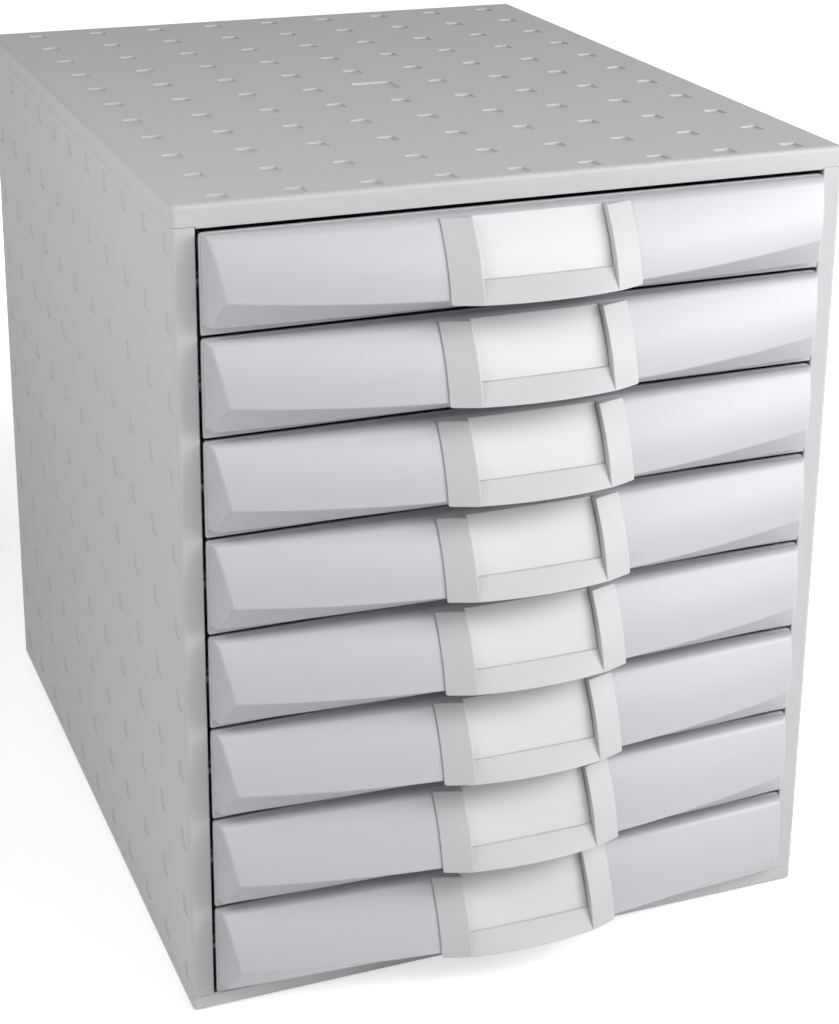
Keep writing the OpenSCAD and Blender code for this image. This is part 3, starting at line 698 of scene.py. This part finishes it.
def bellyRow(kind, t, u, inset):  # reach and drop of one row across; inset gives the wall's inner side
    s = frontShape
    soft, creaseSoft, heelSoft = s["crestSoft"], s["creaseSoft"], s["heelSoft"]
    topD = s["crestDrop"] + s["innerTop"] * inset
    root = s["plateProud"] - tuck
    outward = (u / plateHalf) ** 2
    creaseD = mix(s["creaseMiddle"], s["creaseEnd"], outward) - s["innerCrease"] * inset
    crease = np.stack([faceReach(u, creaseD) - inset, creaseD])
    heelReach = mix(s["heelMiddle"], s["heelEnd"], outward) - s["innerHeel"] * inset
    heel = np.stack([heelReach, np.full_like(u, s["heelDrop"] - inset)])
    under = (heel - crease) / np.linalg.norm(heel - crease, axis=0)

    def onFace(d):  # the face's reach at one drop, less the inset
        return np.stack([faceReach(u, d) - inset, d + 0 * u])

    crest = onFace(topD)
    if kind == "band":
        return np.stack([mix(root, crest[0] - soft, t), np.full_like(u, topD)])
    if kind == "crest":
        return bend(np.stack([crest[0] - soft, crest[1]]), crest, onFace(topD + soft), t)
    if kind == "face":
        return onFace(mix(topD + soft, creaseD - creaseSoft, t))
    if kind == "crease":
        return bend(onFace(creaseD - creaseSoft), crease, crease + under * creaseSoft, t)
    if kind == "under":
        return mix(crease + under * creaseSoft, heel - under * heelSoft, t)
    if kind == "heel":
        return bend(heel - under * heelSoft, heel, heel - np.array([[heelSoft], [0.0]]), t)
    return np.stack([mix(heel[0] - heelSoft, root, t), heel[1]])


def slantOf(kind, t):  # how far the face's ends lie inside the plate's ends
    s = frontShape
    back, top, low = s["slantBack"], s["slantTop"], s["slantLow"]
    if kind == "band":
        return mix(back, top, s["shoulder"] * t)
    if kind == "crest":
        return mix(back, top, mix(s["shoulder"], 1.0, t))
    if kind == "face":
        return mix(top, low, t)
    if kind == "under":
        return mix(low, top, t)
    if kind == "back":
        return mix(top, back, t)
    return low if kind == "crease" else top


s = frontShape
aboveWindow = s["windowDrop"] - s["crestDrop"] - s["crestSoft"]
windowT = aboveWindow / (s["creaseMiddle"] - s["creaseSoft"] - s["crestDrop"] - s["crestSoft"])
faceSteps = np.unique(np.concatenate([[0.02, windowT, 0.98], np.linspace(0, 1, 19)[1:-1]]))
bellyRows = [("band", 0.0), ("band", 0.5), ("band", 0.95)]
bellyRows += [("crest", t) for t in np.linspace(0, 1, 6)] + [("face", t) for t in faceSteps]
bellyRows += [("crease", t) for t in np.linspace(0, 1, 7)]
bellyRows += [("under", t) for t in (0.04, 0.35, 0.65, 0.96)]
bellyRows += [("heel", t) for t in np.linspace(0, 1, 5)] + [("back", 0.1), ("back", 1.0)]
windowShare = s["windowHalf"] / (plateHalf - s["slantLow"] - s["endSoft"])
acrossFront = np.unique(np.concatenate([[-windowShare, windowShare], np.linspace(-1, 1, 61)]))


def bellyGrid(inset):
    # rows down the front; each runs from the plate up the slanted end, round its edge, across the face
    # and down the other end
    s = frontShape
    baseHalf = plateHalf - s["slantBack"] - (s["rim"] if inset else 0.0)
    grid = []
    for kind, t in bellyRows:
        half = plateHalf - slantOf(kind, t) - inset
        edgeAt = np.array([half])
        reach, drop = bellyRow(kind, t, edgeAt, inset)[:, 0]
        edge = np.array([half, -reach, -drop])
        base = np.array([baseHalf, -(s["plateProud"] - tuck), -drop])
        down = base - edge
        length = max(np.linalg.norm(down), 1e-6)
        soft = s["endSoft"]
        foot = edge + down * min(soft / length, s["endShare"])
        inner = acrossFront * (half - soft)
        reaches, drops = bellyRow(kind, t, inner, inset)
        middle = np.stack([inner, -reaches, -drops], -1)
        steps = np.linspace(0, 1, 6)[1:, None]
        end = [mix(foot, base, t) for t in (0.05, 0.5)] + [base]
        right = np.concatenate([bend(middle[-1], edge, foot, steps), end])
        grid.append(np.concatenate([(right * [-1, 1, 1])[::-1], middle, right]))
    return np.stack(grid)


plateLines = {"ends": 4.0, "below": 9.0, "above": 6.0}  # where the plate's straight sides stop, from its edges


def plateFrame(top):
    # square-section ring: the rounded plate round the hollow of a front, closed on itself
    s = frontShape
    height = frontHigh[2] - frontLow[2]
    outer = (-plateHalf, plateHalf, top - height, top)
    holeHalf = plateHalf - s["slantBack"] - s["rim"]
    holeTop = top - s["crestDrop"] - s["innerTop"] * s["wall"]
    hole = (-holeHalf, holeHalf, top - s["heelDrop"] + s["wall"], holeTop)
    xs = np.array([-plateHalf + plateLines["ends"], plateHalf - plateLines["ends"]])
    zs = np.array([top - height + plateLines["below"], top - plateLines["above"]])
    proud, back, soft, edge = (s[k] for k in ("plateProud", "plateInner", "plateSoft", "plateEdge"))
    r, foot, inner = s["plateRound"], s["plateFoot"], s["holeRound"]
    rings = [(outer, edge, r, foot, back), (outer, 0.0, r, foot, back - edge)]
    for fall, rise in turn:
        step = soft * rise
        rings.append((outer, step, r - step, foot - step, -proud + soft * fall))
    rings += [(hole, 0.0, inner, inner, -proud), (hole, 0.0, inner, inner, back)]
    rings.append((outer, edge, r, foot, back))
    loops = []
    for box, inset, upper, lower, y in rings:
        ring = ringAround(xs, zs, box, inset, upper)
        ring = np.where(ring[:, 1:] > top - height / 2, ring, ringAround(xs, zs, box, inset, lower))
        loops.append(np.column_stack([ring[:, 0], np.full(len(ring), y), ring[:, 1]]))
    return tube(loops, caps=False)


outerBelly, innerBelly = bellyGrid(0.0), bellyGrid(frontShape["wall"])
cellDrop = -(outerBelly[1:, 1:, 2] + outerBelly[:-1, :-1, 2]) / 2
cellAcross = np.abs(outerBelly[1:, 1:, 0] + outerBelly[:-1, :-1, 0]) / 2
inWindow = (cellAcross < frontShape["windowHalf"]) & (cellDrop > frontShape["windowDrop"])
belly = thickSheet(outerBelly, innerBelly, ~inWindow)


hookShape = {
    "share": 0.6, "half": 6.0, "inner": 2.8, "outer": 4.3, "soft": 0.3,
    "top": 1.0, "armLow": 2.5, "hookLow": 6.5, "pegTop": 34.0, "pegLow": 35.5,
}


def hooks(top):  # clips that hang the front on the tray's wall, and pegs below the outer ones
    h = hookShape
    soft, start, inner, outer = h["soft"], frontY - tuck, frontY + h["inner"], frontY + h["outer"]
    shells = []
    for x in (-h["share"] * plateHalf, 0.0, h["share"] * plateHalf):
        left, right = x - h["half"], x + h["half"]
        shells.append(softBox((left, start, top - h["armLow"]), (right, outer, top - h["top"]), soft))
        shells.append(softBox((left, inner, top - h["hookLow"]), (right, outer, top - h["top"]), soft))
        if x:
            shells.append(softBox((left, start, top - h["pegLow"]), (right, inner, top - h["pegTop"]), soft))
    return shells


for n in drawers:
    top = frontTop(n)
    shells = [moved(belly, (0, frontY, top)), moved(plateFrame(top), (0, frontY, 0))] + hooks(top)
    addPiece(f"drawerFront{n}", shells, f"drawer_{n}", frontPlastic, [f"drawer_front_{n}"])
print("drawer fronts built")


# handles

handleShape = {
    "half": 41.0, "labelHalf": 28.5, "rise": 4.5, "edge": 0.8, "gap": 0.3, "topDrop": 0.5, "lowDrop": 32.0,
    "lipDrop": 23.2, "lipRise": 1.6, "lipReach": 30.6, "lipWall": 2.0, "lipSofts": (0.3, 0.7, 0.6, 0.3),
    "outerSoft": 0.3, "crestSoft": 0.7, "endSoft": 0.3, "gapInset": 0.3, "edgeInset": 0.6,
    "cornerRound": 1.0, "cornerFrom": 1.2, "cornerSteps": (1.0, 0.8, 0.55),  # rows round the lower corner
}


def barLoop(d, inset):  # section across the right-hand bar: outer edge, slope, crest, inner wall and back
    h = handleShape
    below = max(0.0, d - (h["lowDrop"] - h["cornerRound"]))
    outer = h["half"] - inset - (h["cornerRound"] - math.sqrt(max(0.0, h["cornerRound"] ** 2 - below ** 2)))
    inner = h["labelHalf"] + inset

    def at(u, over):  # a point that stands so far over the front's face
        return np.array([u, faceReach(u, d) + over])

    def slope(t):  # along the bar's face, from its outer edge to the crest
        u = mix(outer, inner, t)
        return at(u, mix(h["edge"], h["rise"], t) - inset)

    foot = h["gap"] + inset * h["gapInset"]
    corner, crest = at(outer, h["edge"] - inset * h["edgeInset"]), at(inner, h["rise"] - inset)
    width = outer - inner
    softA, softB = h["outerSoft"], h["crestSoft"]
    start, stop = slope(softA / width), slope(1 - softB / width)
    steps = np.linspace(0, 1, 6)
    loop = [at(outer, foot)] + [bend(mix(corner, at(outer, foot), 0.5), corner, start, t) for t in steps]
    loop += [slope(t) for t in np.linspace(softA / width, 1 - softB / width, 8)[1:-1]]
    loop += [bend(stop, crest, crest - [0, softB], t) for t in steps]
    loop += [at(inner, mix(h["rise"] - softB, foot, t)) for t in (0.3, 0.7, 1.0)]
    loop += [at(mix(inner, outer, t), foot) for t in (0.25, 0.5, 0.75)]
    loop = np.array(loop)
    return np.column_stack([loop[:, 0], -loop[:, 1], np.full(len(loop), -d)])


def bar():  # the section carried down the bar, a little smaller at both ends
    h = handleShape
    soft = h["endSoft"]
    ends = [(soft * rise, soft * fall) for fall, rise in turn]
    rows = [(h["topDrop"] + lift, inset) for lift, inset in ends]
    rows += [(d, 0.0) for d in np.linspace(h["topDrop"] + soft, h["lowDrop"] - h["cornerFrom"], 14)[1:]]
    rows += [(h["lowDrop"] - lift, 0.0) for lift in h["cornerSteps"]]
    rows += [(h["lowDrop"] - lift, inset) for lift, inset in ends[::-1]]
    return tube([barLoop(d, inset) for d, inset in rows])


def lip():  # section of the lip in reach and drop, with rounded corners, carried across between the bars
    h = handleShape
    us = np.linspace(-h["labelHalf"] - tuck, h["labelHalf"] + tuck, 45)
    high = faceReach(us, h["lipDrop"]) + h["lipRise"]
    endLow = faceReach(h["labelHalf"], h["lowDrop"]) + h["rise"]
    low = mix(h["lipReach"], endLow, (us / h["labelHalf"]) ** 2)
    topOut = np.stack([high, np.full_like(us, h["lipDrop"])])
    lowOut = np.stack([low, np.full_like(us, h["lowDrop"])])
    lowIn, topIn = lowOut - [[h["lipWall"]], [0]], topOut - [[h["lipWall"]], [0]]
    corners, softs = [topOut, lowOut, lowIn, topIn], h["lipSofts"]
    loop = []
    for k in range(4):
        before, here, after = corners[k - 1], corners[k], corners[(k + 1) % 4]
        toBefore = (before - here) / np.linalg.norm(before - here, axis=0)
        toAfter = (after - here) / np.linalg.norm(after - here, axis=0)
        a, b = here + toBefore * softs[k], here + toAfter * softs[k]
        loop += [bend(a, here, b, t) for t in np.linspace(0, 1, 6)]
        loop += [mix(b, after - toAfter * softs[(k + 1) % 4], t) for t in (0.05, 0.5, 0.95)]
    loop = np.stack(loop)  # (points round the section, reach or drop, points across)
    x = np.broadcast_to(us, loop[:, 0].shape)
    return tube(np.stack([x, -loop[:, 0], -loop[:, 1]], -1).transpose(1, 0, 2))


rightBar = bar()
handleShells = [rightBar, mirrored(rightBar), lip()]
for n in drawers:
    shells = [moved(shell, (0, frontY, frontTop(n))) for shell in handleShells]
    addPiece(f"handle{n}", shells, f"drawer_{n}", handlePlastic, [f"handle_{n}"])
print("handles built")


# label cards

cardShape = {"half": 28.2, "topDrop": 0.8, "lowDrop": 23.15, "gap": 0.2, "thick": 0.4}


def card():  # thin sheet: the face's own shape, moved out by the gap and by the sheet's thickness
    c = cardShape
    u, d = np.meshgrid(np.linspace(-c["half"], c["half"], 15), np.linspace(c["topDrop"], c["lowDrop"], 13))
    under = faceReach(u, d) + c["gap"]
    over = faceReach(u, d) + c["gap"] + c["thick"]
    return thickSheet(np.stack([u, -over, -d], -1), np.stack([u, -under, -d], -1))


cardShell = card()
for n in drawers:
    shells = [moved(cardShell, (0, frontY, frontTop(n)))]
    addPiece(f"labelCard{n}", shells, f"drawer_{n}", labelCard, [f"label_card_{n}"])
print("label cards built")
